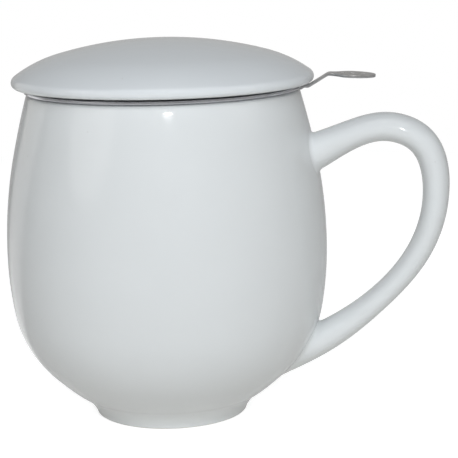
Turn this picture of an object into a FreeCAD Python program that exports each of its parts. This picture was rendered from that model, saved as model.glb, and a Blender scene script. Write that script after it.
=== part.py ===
import FreeCAD
import Part
import math
import os
from FreeCAD import Vector

# A porcelain tea mug with a lift-out steel infuser and a loose domed lid, in millimetres.
# The origin is on the mug's axis at the table. +Z is up and the handle points along +X.

# Mug bowl: arcs that run into each other, named by the lean of the wall where they meet
mug_height = 91.54
belly_radius = 44.9
belly_height = 47.0
wall = 3.0                   # the lip is rounded to half of it
lip_inset = 8.3              # middle of the rounded lip, in from the belly
lip_lean = 15.7              # degrees inwards, at the lip
shoulder_lean = 12.2         # degrees inwards, where the two upper arcs meet
hip_start_lean = 9.9         # degrees outwards, where the belly turns into the hip
hip_end_lean = 47.0          # degrees outwards, where the hip turns into the base
base_lean = 50.8             # degrees outwards, where the bowl leaves the foot
hip_round = 31.7
floor_height = 6.8           # inside of the bowl

# Foot ring
foot_radius = 21.5
foot_edge = 0.8              # rounding outside, chamfer inside
foot_width = 3.9
foot_height = 5.4
foot_flare = 4.6             # how far the foot widens up to the bowl
foot_waist = 1.3             # how far it has widened at half its height
recess_depth = 3.4
recess_chamfer = 1.6

# Handle: each station is out from the belly, up from the table, thickness and width
handle_stations = [
    (-11.5, 70.4, 12.5, 14.5),
    (-1.7, 74.6, 9.9, 13.0),
    (7.6, 78.9, 8.0, 11.8),
    (16.6, 80.9, 7.9, 11.6),
    (26.0, 77.0, 8.0, 11.5),
    (30.6, 63.6, 7.3, 11.2),
    (25.4, 45.9, 6.7, 10.8),
    (13.8, 32.2, 6.7, 11.1),
    (0.4, 22.5, 7.9, 12.9),
    (-18.3, 13.6, 9.4, 15.5),
]

# Gaps left between pieces that lift apart
seat_gap = 0.12              # infuser on the lip, lid on the infuser
mouth_gap = 0.6              # infuser collar in the mouth, per side
lid_play = 1.3               # lid's locating ring in the collar, per side
weld_gap = 0.05              # between sheets that are welded together

# Infuser
rim_sheet = 0.5
bead_radius = 0.62
rim_overhang = 1.9           # outside of the rolled bead past the middle of the lip
collar_depth = 7.0           # down from the flange's underside
collar_bend = 1.0            # outer radius of the bend under the flange
wall_sheet = 0.4
basket_depth = 62.6          # from the lip down to the basket's underside
wall_lap = 3.5               # sleeve's upper edge inside the collar
seam_width = 5.0
band_sheet = 0.4
band_height = 4.6
band_lip = 2.6               # how far the band turns in under the disc
base_sheet = 0.4
base_dish = 1.2              # how far the disc's middle is pressed up
base_dish_margin = 3.6       # flat left round the dish
base_shoulder = 3.0

# Perforation
slot_width = 1.2
slot_length = 5.2
slot_pitch_round = 6.6       # between columns, along the sleeve
slot_pitch_up = 8.8          # between slots of one column
slot_margin = 3.0            # plain strip above and below the field
seam_margin = 1.5
slot_gap = 2.1               # between slots of one ring in the disc
ring_pitch = 5.6

# Lift tab
tab_sheet = 0.8
tab_root_width = 10.0
tab_root_drop = 0.95         # height of the root plate on the bead
tab_neck_width = 4.4
tab_rise_start = 1.3         # level run outside the root plate
tab_rise_reach = 5.3
tab_rise = 3.25
tab_pad_length = 12.9
tab_pad_width = 11.6
tab_pad_droop = 0.65
tab_bend = 1.6
tab_hole = 1.1
tab_hole_pitch = 2.9

# Lid
lid_overhang = 3.32          # past the infuser's rim
lid_edge_rise = 1.6          # widest point above the lid's seat
lid_dome = 11.06             # top of the dome above the widest point
lid_crown_lean = 15.7        # degrees from level, where the crown turns into the shoulder
lid_edge_lean = 36.2         # degrees from level, where the shoulder turns into the edge
lid_edge_round = 1.9
lid_under_round = 1.4
lid_under_turn = 70          # degrees that the edge turns in below the widest point
lid_wall = 3.2
ring_wall = 3.0
ring_depth = 4.6
ring_chamfer = 0.8

lip_radius = belly_radius - lip_inset
rim_radius = lip_radius + rim_overhang
lid_radius = rim_radius + lid_overhang
lip_round = wall / 2
lip_top = mug_height
lip_height = mug_height - lip_round
flange_bottom = lip_top + seat_gap
bead_height = flange_bottom + bead_radius
bead_middle = rim_radius - bead_radius
lid_seat = bead_height + bead_radius + seat_gap
mouth_radius = lip_radius - lip_round
collar_radius = mouth_radius - mouth_gap
sleeve_radius = collar_radius - rim_sheet - weld_gap
basket_bottom = lip_top - basket_depth


def point(r, z):
    return Vector(r, 0, z)


def line(a, b):
    return Part.LineSegment(a, b).toShape()


def polyline(points):
    return [line(a, b) for a, b in zip(points, points[1:])]


def arc(a, middle, b):
    return Part.Arc(a, middle, b).toShape()


def bezier(*poles):
    curve = Part.BezierCurve()
    curve.setPoles(list(poles))
    return curve.toShape()


def polar(centre, radius, degrees):
    turn = math.radians(degrees)
    return centre + Vector(radius * math.cos(turn), 0, radius * math.sin(turn))


def face_of(edges):
    return Part.Face(Part.Wire(Part.sortEdges(edges)[0]))


def revolve(edges):
    return face_of(edges).revolve(Vector(0, 0, 0), Vector(0, 0, 1), 360)


def tube(outer, sheet, bottom, height):
    outside = Part.makeCylinder(outer, height, Vector(0, 0, bottom))
    return outside.cut(Part.makeCylinder(outer - sheet, height, Vector(0, 0, bottom)))


# Where an arc ends that starts at a point and turns between two leans from the vertical
def arc_end(start, radius, lean_from, lean_to):
    before = math.radians(lean_from)
    after = math.radians(lean_to)
    return start + Vector(radius * (math.cos(after) - math.cos(before)), 0,
                          radius * (math.sin(before) - math.sin(after)))


# The two radii with which arcs over the given leans reach across and up
def two_radii(first, second, across, up):
    leans = [[math.radians(lean) for lean in pair] for pair in (first, second)]
    (a, b), (c, d) = [(math.cos(after) - math.cos(before), math.sin(before) - math.sin(after))
                      for before, after in leans]
    scale = a * d - b * c
    return (across * d - up * c) / scale, (up * a - across * b) / scale


def turning_arc(start, radius, lean_from, lean_to):
    middle = arc_end(start, radius, lean_from, (lean_from + lean_to) / 2)
    return arc(start, middle, arc_end(start, radius, lean_from, lean_to))


# The bowl's arcs from the foot up to the lip, as start, radius and the leans at both ends.
# Inset moves them inwards by the wall.
def bowl_arcs(inset):
    foot_top = point(foot_radius + foot_flare, foot_height)
    lip_start = polar(point(lip_radius, lip_height), lip_round, lip_lean)
    hip = arc_end(Vector(0, 0, 0), hip_round, hip_end_lean, hip_start_lean)
    base_radius, belly_low = two_radii((base_lean, hip_end_lean), (hip_start_lean, 0),
                                       belly_radius - foot_top.x - hip.x,
                                       belly_height - foot_height - hip.z)
    belly_up, shoulder = two_radii((0, -shoulder_lean), (-shoulder_lean, -lip_lean),
                                   lip_start.x - belly_radius, lip_start.z - belly_height)
    turn = math.radians(base_lean)
    start = foot_top + Vector(-inset * math.cos(turn), 0, inset * math.sin(turn))
    arcs = []
    for radius, lean_from, lean_to in [
            (base_radius, base_lean, hip_end_lean), (hip_round, hip_end_lean, hip_start_lean),
            (belly_low, hip_start_lean, 0), (belly_up, 0, -shoulder_lean),
            (shoulder, -shoulder_lean, -lip_lean)]:
        arcs.append((start, radius - inset, lean_from, lean_to))
        start = arc_end(start, radius - inset, lean_from, lean_to)
    return arcs


# The outside of foot and bowl, from the table up to the lip
def outer_edges():
    foot_corner = point(foot_radius, foot_edge)
    foot_centre = point(foot_radius - foot_edge, foot_edge)
    foot_top = point(foot_radius + foot_flare, foot_height)
    waist = point(foot_radius + foot_waist, (foot_edge + foot_height) / 2)
    return [
        arc(point(foot_radius - foot_edge, 0), polar(foot_centre, foot_edge, -45), foot_corner),
        arc(foot_corner, waist, foot_top),
    ] + [turning_arc(*bend) for bend in bowl_arcs(0)]


# The lip and the inside of the bowl, down to the middle of the floor
def inner_edges():
    lip_centre = point(lip_radius, lip_height)
    bends = bowl_arcs(wall)
    wall_foot = bends[0][0]
    lean = math.radians(base_lean)
    floor_round = (wall_foot.z - floor_height) / (1 - math.sin(lean))
    floor_edge = wall_foot - Vector(floor_round * math.cos(lean), 0, wall_foot.z - floor_height)
    return [
        arc(polar(lip_centre, lip_round, lip_lean), polar(lip_centre, lip_round, lip_lean + 90),
            polar(lip_centre, lip_round, lip_lean + 180)),
    ] + [turning_arc(*bend) for bend in bends] + [
        turning_arc(floor_edge, floor_round, 90, base_lean),
        line(floor_edge, point(0, floor_height)),
    ]


# The hollow under the mug, from the middle out to the foot's outer edge
def recess_edges():
    inside = foot_radius - foot_width
    return polyline([
        point(0, recess_depth), point(inside - recess_chamfer, recess_depth),
        point(inside, recess_depth - recess_chamfer), point(inside, foot_edge),
        point(inside + foot_edge, 0), point(foot_radius - foot_edge, 0),
    ])


def make_mug_body():
    axis = line(point(0, floor_height), point(0, recess_depth))
    return revolve(recess_edges() + outer_edges() + inner_edges() + [axis])


# The bowl as if it were solid porcelain: it trims the handle's roots to the glaze line
def make_bowl_block():
    outside = outer_edges()
    lip_start = polar(point(lip_radius, lip_height), lip_round, lip_lean)
    cap = [line(lip_start, point(0, lip_start.z)), line(point(0, lip_start.z), point(0, 0))]
    return revolve([line(point(0, 0), point(foot_radius - foot_edge, 0))] + outside + cap)


def make_mug_handle():
    path = Part.BSplineCurve()
    middles = [point(belly_radius + out, up) for out, up, thick, wide in handle_stations]
    path.interpolate(middles)
    sections = []
    for middle, (out, up, thick, wide) in zip(middles, handle_stations):
        along = path.tangent(path.parameter(middle))[0]
        across = Vector(0, 1, 0)
        ellipse = Part.Ellipse(middle + across * (wide / 2),
                               middle + along.cross(across) * (thick / 2), middle)
        sections.append(Part.Wire([ellipse.toShape()]))
    return Part.makeLoft(sections, True).cut(make_bowl_block())


def make_lid():
    seat_outer = point(rim_radius - seat_gap, lid_seat)
    edge = point(lid_radius, lid_seat + lid_edge_rise)
    top = point(0, edge.z + lid_dome)
    rounding = arc_end(Vector(0, 0, 0), lid_edge_round, 0, lid_edge_lean - 90)
    crown, shoulder = two_radii((lid_crown_lean - 90, -90), (lid_edge_lean - 90, lid_crown_lean - 90),
                                -edge.x - rounding.x, lid_dome - rounding.z)
    bends = []
    start = edge
    for radius, lean_from, lean_to in [
            (lid_edge_round, 0, lid_edge_lean - 90),
            (shoulder, lid_edge_lean - 90, lid_crown_lean - 90),
            (crown, lid_crown_lean - 90, -90)]:
        bends.append(turning_arc(start, radius, lean_from, lean_to))
        start = arc_end(start, radius, lean_from, lean_to)
    under_centre = point(edge.x - lid_under_round, edge.z)
    under = polar(under_centre, lid_under_round, -lid_under_turn)

    ring_outer = collar_radius - rim_sheet - lid_play
    ring_inner = ring_outer - ring_wall
    ring_bottom = lid_seat - ring_depth
    crown_centre = point(0, top.z - crown)
    hollow = crown - lid_wall
    hollow_lean = math.degrees(math.acos(ring_inner / hollow))
    return revolve(bends + [
        arc(edge, polar(under_centre, lid_under_round, -lid_under_turn / 2), under),
        arc(polar(crown_centre, hollow, hollow_lean),
            polar(crown_centre, hollow, (hollow_lean + 90) / 2), point(0, top.z - lid_wall)),
        line(point(0, top.z - lid_wall), top),
    ] + polyline([
        under, seat_outer, point(ring_outer, lid_seat),
        point(ring_outer, ring_bottom + ring_chamfer), point(ring_outer - ring_chamfer, ring_bottom),
        point(ring_inner + ring_chamfer, ring_bottom), point(ring_inner, ring_bottom + ring_chamfer),
        polar(crown_centre, hollow, hollow_lean),
    ]))


def make_infuser_rim():
    flange_top = flange_bottom + rim_sheet
    collar_bottom = flange_bottom - collar_depth
    inner = collar_radius - rim_sheet
    bend = point(inner + collar_bend, flange_top - collar_bend)
    bead = point(bead_middle, bead_height)
    bead_side = math.sqrt(bead_radius ** 2 - (flange_top - bead_height) ** 2)
    bead_join = point(bead.x - bead_side, flange_top)
    return revolve(polyline([
        point(inner, bend.z), point(inner, collar_bottom), point(collar_radius, collar_bottom),
        point(collar_radius, flange_bottom - collar_bend + rim_sheet),
        point(collar_radius + collar_bend - rim_sheet, flange_bottom),
        point(bead.x, flange_bottom),
    ]) + [
        arc(point(bead.x, flange_bottom), polar(bead, bead_radius, 45), bead_join),
        line(bead_join, point(bend.x, flange_top)),
        arc(point(bend.x, flange_top), polar(bend, collar_bend, 135), point(inner, bend.z)),
    ])


# The sleeve is a rolled sheet: its two ends overlap in a plain strip opposite the tab
def make_infuser_wall():
    bottom = basket_bottom + band_sheet + base_sheet
    collar_bottom = flange_bottom - collar_depth
    sleeve = tube(sleeve_radius, wall_sheet, bottom, collar_bottom + wall_lap - bottom)
    band_top = basket_bottom + band_height
    seam = tube(sleeve_radius + wall_sheet, wall_sheet, band_top + weld_gap,
                collar_bottom - band_top - 2 * weld_gap)
    strip = Part.makeBox(sleeve_radius, seam_width, mug_height,
                         Vector(-sleeve_radius - wall_sheet, -seam_width / 2, 0))
    field_bottom = band_top + slot_margin
    field_height = collar_bottom - slot_margin - field_bottom
    columns = int(2 * math.pi * sleeve_radius / slot_pitch_round) // 2 * 2
    rows = int((field_height - slot_length - slot_pitch_up / 2) / slot_pitch_up) + 1
    spare = field_height - slot_length - (rows - 0.5) * slot_pitch_up
    seam_half_angle = math.degrees((seam_width / 2 + seam_margin) / sleeve_radius)
    slots = []
    for column in range(columns):
        angle = 360 * column / columns
        if abs(angle - 180) < seam_half_angle:
            continue
        shift = slot_pitch_up / 2 * (column % 2)
        for row in range(rows):
            up = field_bottom + spare / 2 + shift + row * slot_pitch_up
            slot = Part.makeBox(2 * wall_sheet, slot_width, slot_length,
                                Vector(sleeve_radius - 1.5 * wall_sheet, -slot_width / 2, up))
            slot.rotate(Vector(0, 0, 0), Vector(0, 0, 1), angle)
            slots.append(slot)
    return sleeve.cut(slots).fuse(seam.common(strip))


# The disc is pressed up inside its flat margin and pierced with rings of slots
def make_infuser_base():
    bottom = basket_bottom + band_sheet
    flat = sleeve_radius - base_dish_margin
    raised = flat - base_shoulder
    under = [point(0, bottom + base_dish), point(raised, bottom + base_dish),
             point(flat, bottom), point(sleeve_radius, bottom)]
    over = [corner + point(0, base_sheet) for corner in reversed(under)]
    disc = revolve(polyline(under + over + under[:1]))
    slots = []
    rings = int((raised - slot_width) / ring_pitch)
    for ring in range(1, rings + 1):
        radius = ring * ring_pitch
        count = int(2 * math.pi * radius / (slot_length + slot_gap))
        for number in range(count):
            slot = Part.makeBox(slot_width, slot_length, 2 * base_sheet,
                                Vector(radius - slot_width / 2, -slot_length / 2,
                                       bottom + base_dish - base_sheet / 2))
            slot.rotate(Vector(0, 0, 0), Vector(0, 0, 1), 360 * (number + ring / 2) / count)
            slots.append(slot)
    return disc.cut(slots)


def make_infuser_base_band():
    inner = sleeve_radius + weld_gap
    outer = inner + band_sheet
    turned_in = sleeve_radius - band_lip
    floor = basket_bottom + band_sheet
    return revolve(polyline([
        point(turned_in, basket_bottom), point(inner, basket_bottom), point(outer, floor),
        point(outer, basket_bottom + band_height), point(inner, basket_bottom + band_height),
        point(inner, floor), point(turned_in, floor), point(turned_in, basket_bottom),
    ]))


# The edges of one side of a bent sheet, offset from its middle line
def bent_side(points, bend, offset):
    ends = []
    arcs = []
    for before, corner, after in zip(points, points[1:], points[2:]):
        into = (corner - before).normalize()
        out = (after - corner).normalize()
        turn = into.getAngle(out)
        side = 1 if into.cross(out).y < 0 else -1
        setback = bend * math.tan(turn / 2)
        start = corner - into * setback
        left = Vector(-into.z, 0, into.x)
        centre = start + left * (bend * side)
        to_corner = (corner - centre).normalize()
        radius = bend - offset * side
        finish = corner + out * setback
        ends.append(centre + (start - centre).normalize() * radius)
        ends.append(centre + (finish - centre).normalize() * radius)
        arcs.append(arc(ends[-2], centre + to_corner * radius, ends[-1]))
    first = (points[1] - points[0]).normalize()
    last = (points[-1] - points[-2]).normalize()
    ends.insert(0, points[0] + Vector(-first.z, 0, first.x) * offset)
    ends.append(points[-1] + Vector(-last.z, 0, last.x) * offset)
    edges = []
    for number in range(0, len(ends), 2):
        edges.append(line(ends[number], ends[number + 1]))
        if number // 2 < len(arcs):
            edges.append(arcs[number // 2])
    return edges, ends[0], ends[-1]


def make_lift_tab():
    root = point(rim_radius + weld_gap, bead_height)
    rise = point(rim_radius + tab_sheet + tab_rise_start, bead_height)
    bend = rise + point(tab_rise_reach, tab_rise)
    tip = bend + point(tab_pad_length, -tab_pad_droop)
    path = [root, rise, bend, tip]
    upper, upper_start, upper_end = bent_side(path, tab_bend, tab_sheet / 2)
    lower, lower_start, lower_end = bent_side(path, tab_bend, -tab_sheet / 2)
    profile = face_of(upper + [line(upper_end, lower_end)] + lower
                      + [line(lower_start, upper_start)])
    profile.translate(Vector(0, -tab_pad_width / 2, 0))
    strip = profile.extrude(Vector(0, tab_pad_width, 0))

    half_neck = tab_neck_width / 2
    half_pad = tab_pad_width / 2
    pad_middle = tip.x - tab_pad_length / 2
    flare = (pad_middle - bend.x) / 2
    round_reach = (tip.x - pad_middle) * 0.55
    outline = []
    for side in (-1, 1):
        back = Vector(root.x, side * half_neck, 0)
        neck = Vector(bend.x, side * half_neck, 0)
        widest = Vector(pad_middle, side * half_pad, 0)
        end = Vector(tip.x, 0, 0)
        outline.append(line(back, neck))
        outline.append(bezier(neck, neck + Vector(flare, 0, 0), widest - Vector(flare, 0, 0),
                              widest))
        outline.append(bezier(widest, widest + Vector(round_reach, 0, 0),
                              end + Vector(0, side * half_pad * 0.55, 0), end))
    outline.append(line(Vector(root.x, -half_neck, 0), Vector(root.x, half_neck, 0)))
    plan = face_of(outline).extrude(Vector(0, 0, 2 * mug_height))
    tab = strip.common(plan)

    plate_bottom = bead_height - tab_root_drop / 2 - tab_sheet / 8
    plate = tube(rim_radius + tab_sheet, 1.5 * tab_sheet, plate_bottom, tab_root_drop)
    window = Part.makeBox(rim_radius + tab_sheet, tab_root_width, mug_height,
                          Vector(0, -tab_root_width / 2, mug_height / 2))
    plate = plate.common(window).cut(make_infuser_rim())
    holes = []
    for number in (-1, 0, 1):
        middle = Vector(pad_middle + number * tab_hole_pitch, 0, bead_height)
        holes.append(Part.makeCylinder(tab_hole, 2 * tab_rise, middle))
    return tab.fuse(plate).removeSplitter().cut(holes)


pieces = {
    "mug_body": make_mug_body(),
    "mug_handle": make_mug_handle(),
    "lid": make_lid(),
    "infuser_rim": make_infuser_rim(),
    "infuser_wall": make_infuser_wall(),
    "infuser_base": make_infuser_base(),
    "infuser_base_band": make_infuser_base_band(),
    "lift_tab": make_lift_tab(),
}

os.makedirs("parts", exist_ok=True)
for name, shape in pieces.items():
    solids = len(shape.Solids)
    print(name, "solids", solids, "valid", shape.isValid(), "volume", round(shape.Volume))
    shape.exportStep(f"parts/{name}.step")
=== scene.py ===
import bmesh
import bpy
import math
import numpy as np
from mathutils import Matrix, Vector


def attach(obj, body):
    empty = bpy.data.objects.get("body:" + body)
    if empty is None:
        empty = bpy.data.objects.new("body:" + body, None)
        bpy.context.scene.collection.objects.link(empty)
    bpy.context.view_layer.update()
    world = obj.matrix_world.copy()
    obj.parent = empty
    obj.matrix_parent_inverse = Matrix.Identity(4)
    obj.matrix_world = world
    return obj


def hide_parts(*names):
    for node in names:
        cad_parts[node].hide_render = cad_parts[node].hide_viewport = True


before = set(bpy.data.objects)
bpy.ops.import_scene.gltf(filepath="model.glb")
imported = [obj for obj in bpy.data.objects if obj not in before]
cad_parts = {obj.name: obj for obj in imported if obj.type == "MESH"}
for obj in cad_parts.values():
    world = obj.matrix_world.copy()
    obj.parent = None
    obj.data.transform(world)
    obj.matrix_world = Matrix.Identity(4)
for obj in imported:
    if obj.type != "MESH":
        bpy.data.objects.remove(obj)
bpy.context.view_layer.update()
mm = 0.001                      # sizes below are in millimetres, as on the drawing of the mug
print("frame loaded:", ", ".join(sorted(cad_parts)))

# Camera: where the photo was taken from, found from the outlines of rim, bowl and handle
photo = {
    "azimuth": 10.0,            # degrees that the handle is turned towards the camera
    "distance": 464.2, "height": 141.9,
    "pitch": 11.01, "yaw": 2.15, "roll": -1.27,
    "focal": 1676.9, "frame": 458,          # both in pixels
    "sensor": 36.0, "clip": (0.01, 50),
}


def turnedBy(degrees):                              # about the mug's axis
    return Matrix.Rotation(math.radians(degrees), 3, "Z")


def addCamera():
    pitch, yaw, roll = (math.radians(photo[k]) for k in ("pitch", "yaw", "roll"))
    turn = turnedBy(photo["azimuth"])
    forward = turn @ Vector((math.sin(yaw) * math.cos(pitch), math.cos(yaw) * math.cos(pitch),
                             -math.sin(pitch)))
    level = turn @ Vector((math.cos(yaw), -math.sin(yaw), 0))
    upright = level.cross(forward)
    right = level * math.cos(roll) + upright * math.sin(roll)
    up = upright * math.cos(roll) - level * math.sin(roll)
    place = turn @ Vector((0, -photo["distance"], photo["height"])) * mm
    data = bpy.data.cameras.new("photoCamera")
    data.sensor_width = photo["sensor"]
    data.lens = photo["focal"] * photo["sensor"] / photo["frame"]
    data.clip_start, data.clip_end = photo["clip"]
    camera = bpy.data.objects.new("photoCamera", data)
    camera.matrix_world = Matrix((right, up, -forward)).transposed().to_4x4()
    camera.matrix_world.translation = place
    bpy.context.collection.objects.link(camera)
    bpy.context.scene.camera = camera


addCamera()
print("camera placed")


# Mesh helpers; a count is how many steps a stretch, an arc or a ring is drawn with
def link(name, mesh):
    piece = bpy.data.objects.new(name, mesh)
    bpy.context.collection.objects.link(piece)
    return piece


def smoothMesh(name, points, faces, sharpDegrees=None):
    mesh = bpy.data.meshes.new(name)
    mesh.from_pydata([Vector(p) * mm for p in points], [], faces)
    mesh.validate()
    mesh.polygons.foreach_set("use_smooth", [True] * len(mesh.polygons))
    if sharpDegrees:
        mesh.set_sharp_from_angle(angle=math.radians(sharpDegrees))
    return link(name, mesh)


# Spins a profile of (radius, height) points round the mug's axis; a closed one makes a ring
def spun(name, profile, steps, closed=False, sharpDegrees=None):
    points, rows = [], []
    for radius, height in profile:
        if radius < 1e-6:
            rows.append([len(points)] * steps)
            points.append((0, 0, height))
            continue
        rows.append(list(range(len(points), len(points) + steps)))
        for step in range(steps):
            angle = 2 * math.pi * step / steps
            points.append((radius * math.cos(angle), radius * math.sin(angle), height))
    pairs = list(zip(rows, rows[1:]))
    if closed:
        pairs.append((rows[-1], rows[0]))
    faces = []
    for low, high in pairs:
        for step in range(steps):
            after = (step + 1) % steps
            corners = [low[step], low[after], high[after], high[step]]
            corners = [c for i, c in enumerate(corners) if c != corners[i - 1]]
            if len(corners) > 2:
                faces.append(corners)
    return smoothMesh(name, points, faces, sharpDegrees)


def arcEnd(start, radius, leanFrom, leanTo):        # leans are degrees from upright
    before, after = math.radians(leanFrom), math.radians(leanTo)
    return (start[0] + radius * (math.cos(after) - math.cos(before)),
            start[1] + radius * (math.sin(before) - math.sin(after)))


def arcPoints(start, radius, leanFrom, leanTo, count):
    return [arcEnd(start, radius, leanFrom, leanFrom + (leanTo - leanFrom) * i / count)
            for i in range(count + 1)]


def roundPoints(centre, radius, angleFrom, angleTo, count):
    turns = [math.radians(angleFrom + (angleTo - angleFrom) * i / count) for i in range(count + 1)]
    return [(centre[0] + radius * math.cos(t), centre[1] + radius * math.sin(t)) for t in turns]


# The two radii with which arcs over the given leans reach across and up
def twoRadii(first, second, across, up):
    steps = [arcEnd((0, 0), 1, *leans) for leans in (first, second)]
    (a, b), (c, d) = steps
    scale = a * d - b * c
    return (across * d - up * c) / scale, (up * a - across * b) / scale


def stretch(a, b, count):                           # points between two corners, ends left out
    return [(a[0] + (b[0] - a[0]) * i / count, a[1] + (b[1] - a[1]) * i / count)
            for i in range(1, count)]


# A line of arcs that run into each other; each is its radius, its leans and its count
def arcLine(start, *arcs):
    points = [start]
    for arc in arcs:
        points += arcPoints(points[-1], *arc)[1:]
    return points


def circleThrough(a, b, c, count):                  # points on the arc from a over b to c
    start, over, end = Vector(a), Vector(b), Vector(c)
    d = 2 * (start.x * (over.y - end.y) + over.x * (end.y - start.y) + end.x * (start.y - over.y))
    x = (start.length_squared * (over.y - end.y) + over.length_squared * (end.y - start.y)
         + end.length_squared * (start.y - over.y)) / d
    y = (start.length_squared * (end.x - over.x) + over.length_squared * (start.x - end.x)
         + end.length_squared * (over.x - start.x)) / d
    radius = (start - Vector((x, y))).length
    angles = [math.atan2(p.y - y, p.x - x) for p in (start, end)]
    angles[1] = angles[0] + (angles[1] - angles[0] + math.pi) % (2 * math.pi) - math.pi
    turns = [angles[0] + (angles[1] - angles[0]) * i / count for i in range(count + 1)]
    return [(x + radius * math.cos(t), y + radius * math.sin(t)) for t in turns]


bendShares = (0.12, 0.25, 0.38, 0.5, 0.62, 0.75, 0.88)


# Rounds one corner of a line: points within the reach give way to a curve that starts and ends there
def softened(points, corner, reach):
    inside = [i for i, p in enumerate(points) if math.dist(p, corner) < reach]
    first, last = points[inside[0] - 1], points[inside[-1] + 1]
    curve = [tuple(a * (1 - t) ** 2 + c * 2 * t * (1 - t) + e * t * t for a, c, e in zip(first, corner, last))
             for t in bendShares]
    return points[:inside[0]] + curve + points[inside[-1] + 1:]


def bezierPoints(a, b, c, d, count):                # without its first point
    out = []
    for step in range(1, count + 1):
        t = step / count
        out.append(tuple(p * (1 - t) ** 3 + q * 3 * t * (1 - t) ** 2 + r * 3 * t * t * (1 - t) + s * t ** 3
                         for p, q, r, s in zip(a, b, c, d)))
    return out


def lengthsAlong(points):
    return np.concatenate([[0], np.cumsum(np.linalg.norm(np.diff(points, axis=0), axis=1))])


def resampled(points, count):                       # evenly spaced along the same line
    points = np.array(points)
    run = lengthsAlong(points)
    return [np.array([np.interp(t, run, points[:, k]) for k in range(3)])
            for t in np.linspace(0, run[-1], count)]


def facedOut(piece):
    shape = bmesh.new()
    shape.from_mesh(piece.data)
    bmesh.ops.remove_doubles(shape, verts=shape.verts, dist=1e-7)
    bmesh.ops.recalc_face_normals(shape, faces=shape.faces)
    shape.to_mesh(piece.data)
    shape.free()
    return piece


# Shader node groups
def shaderGroup(name, inputs, outputs):
    group = bpy.data.node_groups.new(name, "ShaderNodeTree")
    for label, kind, value in inputs:
        socket = group.interface.new_socket(name=label, in_out="INPUT", socket_type=kind)
        socket.default_value = value
    for label, kind in outputs:
        group.interface.new_socket(name=label, in_out="OUTPUT", socket_type=kind)
    start = group.nodes.new("NodeGroupInput")
    end = group.nodes.new("NodeGroupOutput")
    return group, start.outputs, end.inputs


class Tree:                                         # short calls for making and joining nodes
    def __init__(self, tree):
        self.tree = tree

    def add(self, kind, inputs=None, **settings):
        node = self.tree.nodes.new(kind)
        for key, value in settings.items():
            setattr(node, key, value)
        for key, value in (inputs or {}).items():
            if isinstance(value, bpy.types.NodeSocket):
                self.tree.links.new(value, node.inputs[key])
            else:
                node.inputs[key].default_value = value
        return node

    def get(self, kind, inputs=None, **settings):   # a node's first output
        return self.add(kind, inputs, **settings).outputs[0]

    def join(self, a, b):
        self.tree.links.new(a, b)

    def math(self, operation, a, b=0.0, c=None):
        inputs = {0: a, 1: b}
        if c is not None:
            inputs[2] = c
        return self.get("ShaderNodeMath", inputs, operation=operation)

    def vector(self, operation, a, b=(0, 0, 0), out="Vector"):
        return self.add("ShaderNodeVectorMath", {0: a, 1: b}, operation=operation).outputs[out]

    def noise(self, vector, scale, detail=2.0, rough=0.5):
        return self.add("ShaderNodeTexNoise", {"Vector": vector, "Scale": scale, "Detail": detail,
                                               "Roughness": rough}).outputs["Fac"]

    def ramp(self, value, low, high, bottom=0.0, top=1.0):
        return self.add("ShaderNodeMapRange", {"Value": value, "From Min": low, "From Max": high,
                                               "To Min": bottom, "To Max": top}).outputs["Result"]

    def mix(self, factor, a, b):
        node = self.add("ShaderNodeMix", data_type="RGBA")
        for socket, value in ((node.inputs[0], factor), (node.inputs[6], a), (node.inputs[7], b)):
            if isinstance(value, bpy.types.NodeSocket):
                self.tree.links.new(value, socket)
            else:
                socket.default_value = value
        return node.outputs[2]


# Clear glaze over porcelain: faint clouds, slow waves, fine orange peel, smears and a few pin holes
glaze = {
    "cloud": 24.0, "cloudFade": (0.35, 0.7), "wave": 38.0, "waveHeight": 0.05,
    "peel": 420.0, "peelHeight": 0.012, "smear": 95.0, "smearFade": (0.3, 0.75), "smearRough": 0.05,
    "speckScale": 520.0, "speckSize": 0.045, "speckRarity": (0.985, 0.99), "speckMix": 0.35,
    "speckTone": (0.33, 0.30, 0.26, 1), "speckRough": 0.3, "speckDepth": 0.03,
}


def makeGlazeSkin():
    group, given, out = shaderGroup("glazeSkin", [
        ("Vector", "NodeSocketVector", (0, 0, 0)), ("Tone", "NodeSocketColor", (0.8, 0.8, 0.8, 1)),
        ("Shade", "NodeSocketColor", (0.7, 0.7, 0.7, 1)), ("Gloss", "NodeSocketFloat", 0.08),
    ], [("Color", "NodeSocketColor"), ("Roughness", "NodeSocketFloat"), ("Height", "NodeSocketFloat")])
    t, g = Tree(group), glaze
    where = given["Vector"]
    cloud = t.noise(where, g["cloud"], 3.0)
    waves = t.noise(where, g["wave"], 1.0)
    peel = t.noise(where, g["peel"], 2.0)
    cells = t.add("ShaderNodeTexVoronoi", {"Vector": where, "Scale": g["speckScale"]}).outputs
    rare = t.ramp(t.get("ShaderNodeSeparateColor", {0: cells["Color"]}), *g["speckRarity"])
    speck = t.math("MULTIPLY", t.ramp(cells["Distance"], g["speckSize"] * 3, g["speckSize"]), rare)
    toned = t.mix(t.ramp(cloud, *g["cloudFade"]), given["Tone"], given["Shade"])
    t.join(t.mix(t.math("MULTIPLY", speck, g["speckMix"]), toned, g["speckTone"]), out["Color"])
    smear = t.ramp(t.noise(where, g["smear"], 3.0), *g["smearFade"])
    rough = t.math("MULTIPLY_ADD", smear, g["smearRough"], given["Gloss"])
    t.join(t.math("MULTIPLY_ADD", speck, g["speckRough"], rough), out["Roughness"])
    height = t.math("MULTIPLY", waves, g["waveHeight"])
    height = t.math("MULTIPLY_ADD", peel, g["peelHeight"], height)
    t.join(t.math("MULTIPLY_ADD", speck, -g["speckDepth"], height), out["Height"])
    return group


# Stainless sheet: grain along one way, faint smudges and small spots
sheetMarks = {"grain": 900.0, "smudge": 130.0, "spots": 620.0, "spotFade": (0.35, 0.68),
              "smudgeFade": (0.3, 0.75), "smudgeRough": 0.08, "grainRough": 0.8}


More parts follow.
